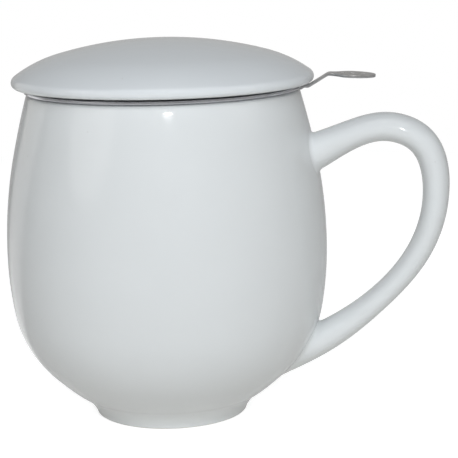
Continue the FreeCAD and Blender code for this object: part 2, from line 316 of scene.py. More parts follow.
def makeSteelSkin():
    group, given, out = shaderGroup("steelSkin", [
        ("Vector", "NodeSocketVector", (0, 0, 0)), ("Stretch", "NodeSocketVector", (1, 1, 1)),
        ("Bright", "NodeSocketColor", (0.7, 0.7, 0.7, 1)), ("Dull", "NodeSocketColor", (0.5, 0.5, 0.5, 1)),
        ("Gloss", "NodeSocketFloat", 0.2), ("Grain", "NodeSocketFloat", 0.1),
    ], [("Color", "NodeSocketColor"), ("Roughness", "NodeSocketFloat"), ("Height", "NodeSocketFloat")])
    t, m = Tree(group), sheetMarks
    where = given["Vector"]
    along = t.vector("MULTIPLY", where, given["Stretch"])
    grain = t.noise(along, m["grain"], 4.0, 0.65)
    smudge = t.noise(where, m["smudge"], 4.0, 0.6)
    spots = t.noise(where, m["spots"], 3.0, 0.55)
    mottle = t.math("MULTIPLY_ADD", spots, 0.5, t.math("MULTIPLY", smudge, 0.5))
    t.join(t.mix(t.ramp(mottle, *m["spotFade"]), given["Dull"], given["Bright"]), out["Color"])
    rough = t.math("MULTIPLY_ADD", t.ramp(smudge, *m["smudgeFade"]), m["smudgeRough"], given["Gloss"])
    scored = t.math("MULTIPLY", given["Grain"], m["grainRough"])
    t.join(t.math("MULTIPLY_ADD", grain, scored, rough), out["Roughness"])
    t.join(t.math("MULTIPLY", grain, given["Grain"]), out["Height"])
    return group


glazeSkin = makeGlazeSkin()
steelSkin = makeSteelSkin()


def emptyTree(owner):                               # of a material or a world
    owner.use_nodes = True
    owner.node_tree.nodes.clear()
    return Tree(owner.node_tree)


def startMaterial(name):
    material = bpy.data.materials.new(name)
    t = emptyTree(material)
    shader = t.add("ShaderNodeBsdfPrincipled")
    t.join(shader.outputs[0], t.add("ShaderNodeOutputMaterial").inputs[0])
    where = t.add("ShaderNodeTexCoord").outputs["Object"]
    return material, t, shader, where


def finished(t, shader, color, rough, height, depth):
    t.join(color, shader.inputs["Base Color"])
    t.join(rough, shader.inputs["Roughness"])
    bump = t.get("ShaderNodeBump", {"Height": height, "Distance": depth * mm, "Strength": 1.0})
    t.join(bump, shader.inputs["Normal"])


porcelain = {
    # the lid's tone is lighter and bluer than the mug's: painted light that makes up for the light its
    # upturned top lacks
    "mugTone": (0.815, 0.83, 0.835, 1), "lidToneWithPaintedLight": (0.84, 0.865, 0.885, 1), "shade": 0.98,
    "gloss": 0.05, "bump": 1.0, "ior": 1.5,
    # the foot's bare ring: colours, where the glaze ends, how that edge fades and wavers
    "bare": (0.79, 0.78, 0.75, 1), "grit": (0.70, 0.68, 0.64, 1), "bareBelow": 0.3,
    "bareFade": (0.45, 0.25), "waver": 0.6, "waverScale": 210.0,
    "gritScale": 2400.0, "gritHeight": 0.12, "bareRough": 0.6,
}


def makePorcelain(name, tone, bareFoot):
    material, t, shader, where = startMaterial(name)
    p = porcelain
    shade = tuple(c * p["shade"] for c in p[tone][:3]) + (1,)
    skin = t.add("ShaderNodeGroup", {"Vector": where, "Tone": p[tone], "Shade": shade,
                                     "Gloss": p["gloss"]}, node_tree=glazeSkin)
    color, rough, height = skin.outputs
    if bareFoot:                                    # the ring that stood in the kiln has no glaze
        up = t.add("ShaderNodeSeparateXYZ", {0: where}).outputs[2]
        edge = t.math("MULTIPLY_ADD", t.noise(where, p["waverScale"], 3.0), p["waver"] * mm, up)
        bare = t.ramp(edge, *(p["bareBelow"] * mm + fade * mm for fade in p["bareFade"]))
        grit = t.noise(where, p["gritScale"], 3.0, 0.7)
        biscuit = t.mix(t.ramp(grit, 0.3, 0.7), p["bare"], p["grit"])
        color = t.mix(bare, color, biscuit)
        rough = t.math("MULTIPLY_ADD", bare, p["bareRough"], rough)
        height = t.math("MULTIPLY_ADD", t.math("MULTIPLY", grit, bare), p["gritHeight"], height)
    shader.inputs["IOR"].default_value = p["ior"]
    finished(t, shader, color, rough, height, p["bump"])
    return material


steel = {
    "polishedSteel": {"bright": (0.60, 0.60, 0.62, 1), "dull": (0.51, 0.51, 0.54, 1), "gloss": 0.06,
                      "grain": 0.04, "stretch": (1, 1, 14), "bump": 0.02},
    "piercedSteel": {"bright": (0.66, 0.66, 0.68, 1), "dull": (0.57, 0.57, 0.59, 1), "gloss": 0.15,
                     "grain": 0.08, "stretch": (1, 1, 0.08), "bump": 0.02},
    "tabSteel": {"bright": (0.72, 0.72, 0.72, 1), "dull": (0.45, 0.45, 0.46, 1), "gloss": 0.24,
                 "grain": 0.10, "stretch": (0.25, 1, 1), "bump": 0.08},
}


def makeSteel(name):
    look = steel[name]
    material, t, shader, where = startMaterial(name)
    given = {key.capitalize(): look[key] for key in ("stretch", "bright", "dull", "gloss", "grain")}
    skin = t.add("ShaderNodeGroup", {"Vector": where, **given}, node_tree=steelSkin)
    shader.inputs["Metallic"].default_value = 1.0
    finished(t, shader, *skin.outputs, look["bump"])
    return material


mugGlaze = makePorcelain("mugGlaze", "mugTone", True)
# the lid's glaze carries painted light: a lighter, bluer tone than the mug's, for the light its top lacks
lidGlaze = makePorcelain("lidGlaze", "lidToneWithPaintedLight", False)
steels = {name: makeSteel(name) for name in steel}
print("materials made")


def finishPiece(piece, body, material, slot, *stoodFor):
    piece.data.materials.clear()
    piece.data.materials.append(material)
    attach(piece, body)
    if stoodFor:
        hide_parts(*stoodFor)
    return piece


# Mug bowl and foot, one shell of porcelain
bowl = {
    "height": 91.54, "wall": 3.0, "floor": 6.8,
    "bellyRadius": 44.9, "bellyHeight": 47.0, "lipRadius": 36.6,
    "lipLean": 15.7, "shoulderLean": 12.2, "hipStartLean": 9.9, "hipEndLean": 47.0,
    "baseLean": 50.8, "hipRound": 31.7,
    "footRadius": 21.5, "footEdge": 0.8, "footWidth": 3.9, "footHeight": 6.6,
    "footFlare": 5.7, "footWaist": 1.9, "recessDepth": 3.4, "recessRound": 1.6,
    "creaseRound": 2.0, "steps": 176,
}


def bowlArcs(inset):
    b = bowl
    lipRound = b["wall"] / 2
    lean = math.radians(b["lipLean"])
    lipStart = (b["lipRadius"] + lipRound * math.cos(lean),
                b["height"] - lipRound + lipRound * math.sin(lean))
    footTop = (b["footRadius"] + b["footFlare"], b["footHeight"])
    hip = arcEnd((0, 0), b["hipRound"], b["hipEndLean"], b["hipStartLean"])
    base, bellyLow = twoRadii((b["baseLean"], b["hipEndLean"]), (b["hipStartLean"], 0),
                              b["bellyRadius"] - footTop[0] - hip[0],
                              b["bellyHeight"] - footTop[1] - hip[1])
    bellyUp, shoulder = twoRadii((0, -b["shoulderLean"]), (-b["shoulderLean"], -b["lipLean"]),
                                 lipStart[0] - b["bellyRadius"], lipStart[1] - b["bellyHeight"])
    turn = math.radians(b["baseLean"])
    start = (footTop[0] - inset * math.cos(turn), footTop[1] + inset * math.sin(turn))
    return arcLine(start, (base - inset, b["baseLean"], b["hipEndLean"], 6),
                   (b["hipRound"] - inset, b["hipEndLean"], b["hipStartLean"], 22),
                   (bellyLow - inset, b["hipStartLean"], 0, 16),
                   (bellyUp - inset, 0, -b["shoulderLean"], 18),
                   (shoulder - inset, -b["shoulderLean"], -b["lipLean"], 12))


def makeBowl():
    b = bowl
    edge, inside = b["footEdge"], b["footRadius"] - b["footWidth"]
    recess, soft = b["recessDepth"], b["recessRound"]
    under = [(0, recess)] + stretch((0, recess), (inside - soft, recess), 8)
    under += roundPoints((inside - soft, recess - soft), soft, 90, 0, 8)
    under += roundPoints((inside + edge, edge), edge, 180, 270, 6)
    under += stretch((inside + edge, 0), (b["footRadius"] - edge, 0), 4)
    corner = (b["footRadius"], edge)
    outside = roundPoints((b["footRadius"] - edge, edge), edge, -90, 0, 7)
    cove = circleThrough(corner, (b["footRadius"] + b["footWaist"], (edge + b["footHeight"]) / 2),
                         (b["footRadius"] + b["footFlare"], b["footHeight"]), 12)
    wall = bowlArcs(0)
    outside += cove[1:] + wall[1:]
    outside = softened(outside, wall[0], b["creaseRound"])
    lip = roundPoints((b["lipRadius"], b["height"] - b["wall"] / 2), b["wall"] / 2,
                      b["lipLean"], b["lipLean"] + 180, 16)
    inner = list(reversed(bowlArcs(b["wall"])))
    wallFoot = inner[-1]
    lean = math.radians(b["baseLean"])
    floorRound = (wallFoot[1] - b["floor"]) / (1 - math.sin(lean))
    centre = (wallFoot[0] - floorRound * math.cos(lean), b["floor"] + floorRound)
    floor = [wallFoot] + [(centre[0] + floorRound * math.cos(a), centre[1] + floorRound * math.sin(a))
                          for a in np.linspace(-lean, -math.pi / 2, 9)[1:]]
    flat = stretch(floor[-1], (0, b["floor"]), 8) + [(0, b["floor"])]
    profile = under + outside + lip[1:-1] + inner + floor[1:] + flat
    return spun("mugBowl", profile, b["steps"])


finishPiece(makeBowl(), "mug", mugGlaze, "porcelain", "mug_body")
print("bowl made")


# How far a point stands out from the bowl, the bowl's nearest point to it and which way is out there
def bowlSkin():
    b = bowl
    wall = np.array([(b["footRadius"], b["footEdge"])] + bowlArcs(0))
    start, run = wall[:-1], np.diff(wall, axis=0)

    def measure(p):
        across = math.hypot(p[0], p[1])
        flat = np.array((across, p[2]))
        share = np.clip(((flat - start) * run).sum(axis=1) / (run ** 2).sum(axis=1), 0, 1)
        near = start + run * share[:, None]
        apart = np.linalg.norm(flat - near, axis=1)
        best = int(apart.argmin())
        side = run[best][0] * (flat - near[best])[1] - run[best][1] * (flat - near[best])[0]
        outward = np.array((run[best][1], -run[best][0])) / np.linalg.norm(run[best])
        turn = np.array((p[0], p[1])) / across
        normal = np.array((outward[0] * turn[0], outward[0] * turn[1], outward[1]))
        nearest = np.array((near[best][0] * turn[0], near[best][0] * turn[1], near[best][1]))
        return math.copysign(apart[best], -side), nearest, normal

    return measure


# Handle: a pulled strap of porcelain that leaves the shoulder, loops out and lands on the hip
handle = {
    # out from the belly, up from the table, thickness, width
    "stations": [(-11.5, 70.4, 12.5, 14.5), (-1.7, 74.6, 9.9, 13.0), (7.6, 78.9, 8.0, 11.8),
                 (16.6, 80.9, 7.9, 11.6), (26.1, 77.2, 8.0, 11.5), (30.3, 63.6, 7.3, 11.2),
                 (25.4, 45.9, 6.7, 10.8), (13.8, 32.2, 6.7, 11.1), (0.5, 22.3, 8.4, 12.9),
                 (-18.2, 13.4, 9.9, 15.5)],
    "rings": 150, "around": 48, "evened": 14,       # rings next to each root that are spaced anew
    "filletStart": 1.3, "filletReach": 1.2, "filletSteps": 9,       # glaze gathers in the corner
    "sunkOut": 0.25, "sunkIn": 0.35, "plugIn": 0.9,                 # how the ends close inside the wall
}


def splineThrough(points, count):                   # natural cubic spline, spaced by chord length
    points = np.array(points, float)
    knots = lengthsAlong(points[:, :2])
    n = len(points)
    h = np.diff(knots)
    system, right = np.eye(n), np.zeros_like(points)
    for i in range(1, n - 1):
        system[i, i - 1:i + 2] = h[i - 1], 2 * (h[i - 1] + h[i]), h[i]
        right[i] = 6 * ((points[i + 1] - points[i]) / h[i] - (points[i] - points[i - 1]) / h[i - 1])
    bend = np.linalg.solve(system, right)
    out = []
    for t in np.linspace(0, knots[-1], count):
        i = min(int(np.searchsorted(knots, t, side="right")) - 1, n - 2)
        a, b = (knots[i + 1] - t) / h[i], (t - knots[i]) / h[i]
        out.append(a * points[i] + b * points[i + 1]
                   + ((a ** 3 - a) * bend[i] + (b ** 3 - b) * bend[i + 1]) * h[i] ** 2 / 6)
    return np.array(out)


def handleRings():
    h = handle
    line = splineThrough([(bowl["bellyRadius"] + s[0],) + s[1:] for s in h["stations"]], h["rings"])
    along = np.gradient(line[:, :2], axis=0)
    along /= np.linalg.norm(along, axis=1)[:, None]
    rings = []
    for (x, z, thick, wide), (dx, dz) in zip(line, along):
        ring = []
        for step in range(h["around"]):
            turn = 2 * math.pi * step / h["around"]
            out, side = math.sin(turn) * thick / 2, math.cos(turn) * wide / 2
            ring.append((x - dz * out, side, z + dx * out))
        rings.append(ring)
    return np.array(rings), line


# Cuts one lengthwise line of the handle where it meets the bowl and flares it into the corner
def flareEnd(column, middle, measure):
    h = handle
    heights = [measure(p)[0] for p in column]
    clear = next(i for i, v in enumerate(heights) if v > h["filletStart"] and min(heights[i:i + 4]) > 0)

    def crossing(level):
        i = next(i for i in range(clear, -1, -1) if heights[i] <= level)
        share = (level - heights[i]) / (heights[i + 1] - heights[i])
        return column[i] + (column[i + 1] - column[i]) * share

    start, corner = crossing(h["filletStart"]), crossing(0)
    normal = measure(corner)[2]
    away = corner - middle
    away -= normal * away.dot(normal)
    away /= np.linalg.norm(away)
    end = measure(corner + away * h["filletReach"])[1]
    curve = []
    for step in range(h["filletSteps"] + 1):
        t = step / h["filletSteps"]
        curve.append(start * (1 - t) ** 2 + corner * 2 * t * (1 - t) + end * t ** 2)
    sunk = end + away * h["sunkOut"] - measure(end)[2] * h["sunkIn"]
    return clear, [sunk] + curve[::-1]


def makeHandle():
    h = handle
    rings, line = handleRings()
    measure = bowlSkin()
    middles = []
    for order in (range(len(line)), range(len(line) - 1, -1, -1)):
        last = None
        for i in order:
            if measure((line[i][0], 0, line[i][1]))[0] > 0:
                break
            last = i
        middles.append(measure((line[last][0], 0, line[last][1]))[1])
    columns = []
    for step in range(h["around"]):
        column = rings[:, step]
        first, skirtUp = flareEnd(column, middles[0], measure)
        last, skirtDown = flareEnd(column[::-1], middles[1], measure)
        columns.append((first, len(column) - 1 - last, skirtUp, skirtDown))
    first = max(c[0] for c in columns) + h["evened"]
    last = min(c[1] for c in columns) - h["evened"]
    spans = []
    for step, (own, ownLast, skirtUp, skirtDown) in enumerate(columns):
        column = rings[:, step]
        near = resampled([skirtUp[-1]] + list(column[own:first]), h["evened"])
        far = resampled([skirtDown[-1]] + list(column[ownLast:last:-1]), h["evened"])
        middle = list(column[first:last + 1])
        spans.append(skirtUp[:-1] + near + middle + far[::-1] + skirtDown[-2::-1])
    rows = len(spans[0])
    points = [tuple(spans[j][i]) for i in range(rows) for j in range(h["around"])]
    faces = []
    for i in range(rows - 1):
        for j in range(h["around"]):
            a, b = i * h["around"] + j, i * h["around"] + (j + 1) % h["around"]
            faces.append((a, b, b + h["around"], a + h["around"]))
    for row, sign in ((0, -1), (rows - 1, 1)):
        ring = [row * h["around"] + j for j in range(h["around"])]
        centre = np.mean([points[k] for k in ring], axis=0)
        points.append(tuple(centre - measure(centre)[2] * h["plugIn"]))
        for j in range(h["around"]):
            pair = (ring[j], ring[(j + 1) % h["around"]])
            faces.append((pair[1], pair[0], len(points) - 1) if sign < 0 else pair + (len(points) - 1,))
    return facedOut(smoothMesh("mugHandle", points, faces))


finishPiece(makeHandle(), "mug", mugGlaze, "porcelain", "mug_handle")
print("handle made")

# Lid: a low dome with a rounded edge, and a ring below that keeps it in the collar
lid = {
    "seat": 93.02, "radius": 41.82, "edgeRise": 1.6, "dome": 11.06,
    "crownLean": 15.7, "edgeLean": 36.2, "edgeRound": 1.9, "underRound": 1.4, "underTurn": 70,
    "wall": 3.2, "seatRadius": 38.38, "ringRadius": 32.7, "ringWall": 3.0, "ringDepth": 4.6,
    "ringRound": 1.1, "ringCove": 0.7, "ringRise": 0.9, "ringLean": 0.012, "ringBulge": (0.12, 0.28),
    "seatEdge": ((0.3, 0), (0.1, 0.03)),            # in from the seat's radius, up from the seat
    "steps": 176,
}


def makeLid():
    d = lid
    edge = (d["radius"], d["seat"] + d["edgeRise"])
    top = edge[1] + d["dome"]
    rounding = arcEnd((0, 0), d["edgeRound"], 0, d["edgeLean"] - 90)
    crown, shoulder = twoRadii((d["crownLean"] - 90, -90), (d["edgeLean"] - 90, d["crownLean"] - 90),
                               -edge[0] - rounding[0], d["dome"] - rounding[1])
    over = arcLine(edge, (d["edgeRound"], 0, d["edgeLean"] - 90, 12),
                   (shoulder, d["edgeLean"] - 90, d["crownLean"] - 90, 14),
                   (crown, d["crownLean"] - 90, -90, 30))
    over[-1] = (0, top)
    under = roundPoints((edge[0] - d["underRound"], edge[1]), d["underRound"], -d["underTurn"], 0, 9)
    outer, inner = d["ringRadius"], d["ringRadius"] - d["ringWall"]
    bottom, soft = d["seat"] - d["ringDepth"], d["ringRound"]
    hollow = crown - d["wall"]
    lean = math.acos(inner / hollow)
    ceiling = [(hollow * math.cos(a), top - crown + hollow * math.sin(a))
               for a in np.linspace(math.pi / 2, lean + d["ringLean"], 16)]
    ceiling[0] = (0, top - d["wall"])
    corner = (inner, ceiling[-1][1] - d["ringRise"])
    bulge = (inner - d["ringBulge"][0], ceiling[-1][1] - d["ringBulge"][1])
    profile = ceiling + circleThrough(ceiling[-1], bulge, corner, 5)[1:]
    profile += stretch(corner, (inner, bottom + soft), 4)
    profile += roundPoints((inner + soft, bottom + soft), soft, 180, 270, 8)
    profile += roundPoints((outer - soft, bottom + soft), soft, 270, 360, 8)
    cove = d["ringCove"]
    profile += stretch((outer, bottom + soft), (outer, d["seat"] - cove), 3)
    profile += roundPoints((outer + cove, d["seat"] - cove), cove, 180, 90, 6)
    seatEdge = [(d["seatRadius"] - back, d["seat"] + up) for back, up in d["seatEdge"]]
    profile += stretch((outer + cove, d["seat"]), seatEdge[0], 4) + seatEdge
    profile += under[:-1] + over
    return spun("mugLid", profile, d["steps"])


finishPiece(makeLid(), "lid", lidGlaze, "lid_porcelain", "lid")
print("lid made")

# Infuser rim: sheet turned out over the lip and rolled into a bead, with a collar inside the mouth
rim = {"sheet": 0.5, "bead": 0.47, "radius": 38.5, "flange": 91.66, "collarRadius": 34.5,
       "collarDepth": 7.0, "bend": 1.0, "edge": 0.2, "steps": 192}


def makeRim():
    r = rim
    inner = r["collarRadius"] - r["sheet"]
    top, bottom = r["flange"] + r["sheet"], r["flange"] - r["collarDepth"]
    bead = (r["radius"] - r["bead"], r["flange"] + r["bead"])
    bendUp = (inner + r["bend"], top - r["bend"])
    lift = math.degrees(math.asin((top - bead[1]) / r["bead"]))
    small, edge, collar = r["bend"] - r["sheet"], r["edge"], r["collarRadius"]
    profile = roundPoints((inner + edge, bottom + edge), edge, 180, 270, 3)
    profile += roundPoints((collar - edge, bottom + edge), edge, 270, 360, 3)
    profile += stretch((collar, bottom + edge), (collar, r["flange"] - small), 6)
    profile += roundPoints((collar + small, r["flange"] - small), small, 180, 90, 6)
    profile += stretch((collar + small, r["flange"]), (bead[0], r["flange"]), 4)
    profile += roundPoints(bead, r["bead"], -90, 180 - lift, 20)
    profile += stretch((bead[0] - r["bead"] * math.cos(math.radians(lift)), top), (bendUp[0], top), 4)
    profile += roundPoints(bendUp, r["bend"], 90, 180, 8)
    profile += stretch((inner, bendUp[1]), (inner, bottom + edge), 6)
    return facedOut(spun("infuserRim", profile, r["steps"], closed=True, sharpDegrees=40))


finishPiece(makeRim(), "infuser", steels["polishedSteel"], "polished_steel", "infuser_rim")
print("rim made")

# Geometry Nodes: sheet pierced with round holes on a triangular grid, flat or rolled to a sleeve
pierced = {
    "radius": 33.75, "sheet": 0.4, "columns": 96, "hole": 1.15, "holeSides": 12, "rows": 24,
    "bottom": 29.74, "top": 88.16, "fieldBottom": 37.0, "fieldTop": 81.2,
    # plain bands lie a little proud over the field's ends, and the sheet's own ends lap at the seam
    "cover": 0.03, "overlap": 0.3, "edge": 0.1, "steps": 192,
    "seamWidth": 5.0, "seamSteps": 10, "underShare": (1.3, 0.8), "underInset": 1,
    "lap": (33.8, 84.4), "lapEdge": 0.12, "lapSunk": 0.05,
}
touching = 2e-6                                     # metres; corners this close become one


def newTree(name, inputs):
    tree = bpy.data.node_groups.new(name, "GeometryNodeTree")
    tree.interface.new_socket(name="Geometry", in_out="INPUT", socket_type="NodeSocketGeometry")
    for label, kind, value in inputs:
        socket = tree.interface.new_socket(name=label, in_out="INPUT", socket_type=kind)
        if value is not None:
            socket.default_value = value
    tree.interface.new_socket(name="Geometry", in_out="OUTPUT", socket_type="NodeSocketGeometry")
    return tree, tree.nodes.new("NodeGroupInput").outputs, tree.nodes.new("NodeGroupOutput").inputs


def whereabouts(t):                                 # a point's own x, y and z
    return t.add("ShaderNodeSeparateXYZ", {0: t.get("GeometryNodeInputPosition")}).outputs


def joined(t, x, y, z):
    return t.get("ShaderNodeCombineXYZ", {0: x, 1: y, 2: z})


def placed(t, geometry, x, y, z):
    return t.get("GeometryNodeSetPosition", {"Geometry": geometry, "Position": joined(t, x, y, z)})


def merged(t, geometry):
    return t.get("GeometryNodeMergeByDistance", {"Geometry": geometry, "Distance": touching})


def gridOf(t, columns, rows, wide=1.0, tall=1.0):
    return t.get("GeometryNodeMeshGrid", {"Size X": wide, "Size Y": tall, "Vertices X": columns,
                                          "Vertices Y": rows})


def copiesOf(t, shape, spots):
    copies = t.get("GeometryNodeInstanceOnPoints", {"Points": spots, "Instance": shape})
    return t.get("GeometryNodeRealizeInstances", {"Geometry": copies})


def lastNodes(t, geometry, metal, end):
    real = t.get("GeometryNodeRealizeInstances", {"Geometry": geometry})
    t.join(t.get("GeometryNodeSetMaterial", {"Geometry": real, "Material": metal}), end)


# A point on a circle, by its reach and turn
def around(t, reach, turn):
    return (t.math("MULTIPLY", reach, t.math("COSINE", turn)),
            t.math("MULTIPLY", reach, t.math("SINE", turn)))


# Flat work becomes round: across turns about the axis, up stays up, and height stands out from it
def rolled(t, geometry, radius):
    x, y, z = whereabouts(t)
    return placed(t, geometry, *around(t, t.math("ADD", z, radius), t.math("DIVIDE", x, radius)), y)


# One tile: a ring of quads between a round hole and a six-sided outline
def makeTile(t, hole, half):
    sides = pierced["holeSides"]
    grid = gridOf(t, sides + 1, 2)
    x, y, z = whereabouts(t)
    number = t.math("ROUND", t.math("MULTIPLY", t.math("ADD", x, 0.5), float(sides)))
    turn = t.math("MULTIPLY", number, -2 * math.pi / sides)
    corner = t.math("MODULO", number, 2.0)
    outline = t.math("MULTIPLY", half, t.math("MULTIPLY_ADD", corner, 2 / math.sqrt(3) - 1, 1.0))
    inside = t.math("MULTIPLY", hole, 0.5)
    outer = t.math("GREATER_THAN", y, 0.0)
    reach = t.math("MULTIPLY_ADD", t.math("SUBTRACT", outline, inside), outer, inside)
    return merged(t, placed(t, grid, *around(t, reach, turn), 0.0))


# Where the tiles go: every second row moves along by half a pitch
def makeSpots(t, given, half):
    columns, rows, pitch = given["Columns"], given["Rows"], given["Pitch"]
    step = t.math("MULTIPLY", pitch, math.sqrt(3) / 2)
    wide = t.math("MULTIPLY", pitch, t.math("SUBTRACT", columns, 1.0))
    tall = t.math("MULTIPLY", step, t.math("SUBTRACT", rows, 1.0))
    spots = gridOf(t, columns, rows, wide, tall)
    x, y, z = whereabouts(t)
    row = t.math("ROUND", t.math("DIVIDE", t.math("ADD", y, t.math("MULTIPLY", tall, 0.5)), step))
    shift = t.math("MULTIPLY", t.math("SUBTRACT", t.math("MODULO", row, 2.0), 0.5), half)
    return placed(t, spots, t.math("ADD", x, shift), y, 0.0)


def makePiercing(name, roll):
    tree, given, out = newTree(name, [
        ("Columns", "NodeSocketInt", 10), ("Rows", "NodeSocketInt", 10), ("Pitch", "NodeSocketFloat", 0.002),
        ("Hole", "NodeSocketFloat", 0.001), ("Sheet", "NodeSocketFloat", 0.0004),
        ("Radius", "NodeSocketFloat", 0.03), ("Height", "NodeSocketFloat", 0.0),
        ("Metal", "NodeSocketMaterial", None)])
    t = Tree(tree)
    half = t.math("MULTIPLY", given["Pitch"], 0.5)
    tile = makeTile(t, given["Hole"], half)
    spots = makeSpots(t, given, half)
    if not roll:
        far = t.vector("LENGTH", t.get("GeometryNodeInputPosition"), out="Value")
        outside = t.math("GREATER_THAN", far, given["Radius"])
        spots = t.get("GeometryNodeDeleteGeometry", {"Geometry": spots, "Selection": outside},
                      domain="POINT")
    field = merged(t, copiesOf(t, tile, spots))
    # a second side and the walls of the holes give the sheet its thickness
    thick = joined(t, 0.0, 0.0, given["Sheet"])
    raised = t.get("GeometryNodeExtrudeMesh", {"Mesh": field, "Offset": thick, "Individual": False},
                   mode="FACES")
    back = t.get("GeometryNodeFlipFaces", {"Mesh": field})
    both = t.add("GeometryNodeJoinGeometry")
    t.join(raised, both.inputs[0])
    t.join(back, both.inputs[0])
    sheet = merged(t, both.outputs[0])
    x, y, z = whereabouts(t)
    sheet = placed(t, sheet, x, y, t.math("SUBTRACT", z, t.math("MULTIPLY", given["Sheet"], 0.5)))
    if roll:
        sheet = merged(t, rolled(t, sheet, given["Radius"]))
    up = joined(t, 0.0, 0.0, given["Height"])
    lifted = t.get("GeometryNodeTransform", {"Geometry": sheet, "Translation": up})
    flat = t.get("GeometryNodeSetShadeSmooth", {"Geometry": lifted, "Shade Smooth": False})
    lastNodes(t, flat, given["Metal"], out[0])
    return tree


# Runs a tree on an empty mesh and keeps what it makes as a plain mesh; decimals are millimetres
def grown(name, tree, values):
    piece = link(name, bpy.data.meshes.new(name))
    modifier = piece.modifiers.new(name, "NODES")
    modifier.node_group = tree
    for item in tree.interface.items_tree:
        if item.in_out == "INPUT" and item.name in values:
            value = values[item.name]
            modifier[item.identifier] = value * mm if isinstance(value, float) else value
    graph = bpy.context.evaluated_depsgraph_get()
    made = bpy.data.meshes.new_from_object(piece.evaluated_get(graph), preserve_all_data_layers=True,
                                           depsgraph=graph)
    piece.modifiers.remove(modifier)
    piece.data = made
    return piece


def joinPieces(name, *parts):
    whole = bmesh.new()
    for part in parts:
        whole.from_mesh(part.data)
        bpy.data.objects.remove(part)
    mesh = bpy.data.meshes.new(name)
    whole.to_mesh(mesh)
    whole.free()
    return link(name, mesh)


def roundedBand(name, inner, outer, bottom, top, soft, steps, fromAngle=0, toAngle=360):
    corners = [(outer - soft, bottom + soft, -90), (outer - soft, top - soft, 0),
               (inner + soft, top - soft, 90), (inner + soft, bottom + soft, 180)]
    profile = []
    for radius, height, angle in corners:
        profile += roundPoints((radius, height), soft, angle, angle + 90, 3)
    if toAngle - fromAngle == 360:
        return facedOut(spun(name, profile, steps, closed=True))
    points, faces, n = [], [], len(profile)
    for step in range(steps + 1):
        turn = math.radians(fromAngle + (toAngle - fromAngle) * step / steps)
        points += [(r * math.cos(turn), r * math.sin(turn), z) for r, z in profile]
    for step in range(steps):
        for i in range(n):
            a, b = step * n + i, step * n + (i + 1) % n
            faces.append((a, b, b + n, a + n))
    faces += [tuple(range(n)), tuple(range(steps * n + n - 1, steps * n - 1, -1))]
    return facedOut(smoothMesh(name, points, faces, 50))


sleeveTree = makePiercing("piercedSleeve", True)
discTree = makePiercing("piercedDisc", False)


# Where the rolled sheet's two ends meet, the wall that is left inside it goes
def clearedSeam(piece):
    made = bmesh.new()
    made.from_mesh(piece.data)
    walls = [face for face in made.faces if sum(len(edge.link_faces) > 2 for edge in face.edges) > 1]
    bmesh.ops.delete(made, geom=walls, context="FACES")
    made.to_mesh(piece.data)
    made.free()
    return piece


def makeSleeve():
    p = pierced
    pitch = 2 * math.pi * p["radius"] / p["columns"]
    middle = (p["fieldBottom"] + p["fieldTop"]) / 2
    field = grown("sleeveField", sleeveTree, {
        "Columns": p["columns"], "Rows": p["rows"], "Pitch": pitch, "Hole": p["hole"],
        "Sheet": p["sheet"], "Radius": p["radius"], "Height": middle, "Metal": steels["piercedSteel"]})
    inner = p["radius"] - p["sheet"] / 2 - p["cover"]
    outer = p["radius"] + p["sheet"] / 2 + p["cover"]
    tall = pitch * math.sqrt(3) / 2 * (p["rows"] - 1) / 2 - p["overlap"]
    low = roundedBand("sleeveLow", inner, outer, p["bottom"], middle - tall, p["edge"], p["steps"])
    high = roundedBand("sleeveHigh", inner, outer, middle + tall, p["top"], p["edge"], p["steps"])
    half = math.degrees(p["seamWidth"] / 2 / p["radius"])
    before, after = (half * share for share in p["underShare"])
    under = roundedBand("seamUnder", inner, outer, p["bottom"] + p["underInset"],
                        p["top"] - p["underInset"], p["edge"], p["seamSteps"], 180 - before, 180 + after)
    lap = roundedBand("seamLap", outer - p["lapSunk"], p["radius"] + p["sheet"] * 1.5, *p["lap"],
                      p["lapEdge"], p["seamSteps"], 180 - half, 180 + half)
    return joinPieces("infuserSleeve", clearedSeam(field), low, high, under, lap)


# Spot welds: shallow round marks in rows, where the sleeve's ends lap and where it sits in the collar
weld = {"size": 1.5, "depth": 0.07, "sides": 16, "seamCount": 9, "seamLength": 44.0, "seamUp": 59.1,
        "sunk": 0.01, "collarCount": 24, "collarUp": 86.3}


def makeWelding():
    tree, given, out = newTree("spotWelds", [
        ("Around", "NodeSocketInt", 1), ("Rows", "NodeSocketInt", 1), ("Length", "NodeSocketFloat", 0.05),
        ("Height", "NodeSocketFloat", 0.06), ("Radius", "NodeSocketFloat", 0.03),
        ("Size", "NodeSocketFloat", 0.0015), ("Depth", "NodeSocketFloat", 0.0001),
        ("Metal", "NodeSocketMaterial", None)])
    t = Tree(tree)
    way = t.math("MULTIPLY", given["Radius"], 2 * math.pi)
    share = t.math("SUBTRACT", 1.0, t.math("DIVIDE", 1.0, given["Around"]))
    spots = gridOf(t, given["Around"], given["Rows"], t.math("MULTIPLY", way, share), given["Length"])
    lens = t.get("GeometryNodeMeshUVSphere", {"Segments": weld["sides"], "Rings": weld["sides"] // 2,
                                              "Radius": 0.5})
    shape = joined(t, given["Size"], given["Size"], given["Depth"])
    lens = t.get("GeometryNodeTransform", {"Geometry": lens, "Scale": shape})
    ring = rolled(t, copiesOf(t, lens, spots), given["Radius"])
    up = joined(t, 0.0, 0.0, given["Height"])
    turned = t.get("GeometryNodeTransform", {"Geometry": ring, "Translation": up,
                                             "Rotation": (0, 0, math.pi)})
    lastNodes(t, turned, given["Metal"], out[0])
    return tree


weldTree = makeWelding()


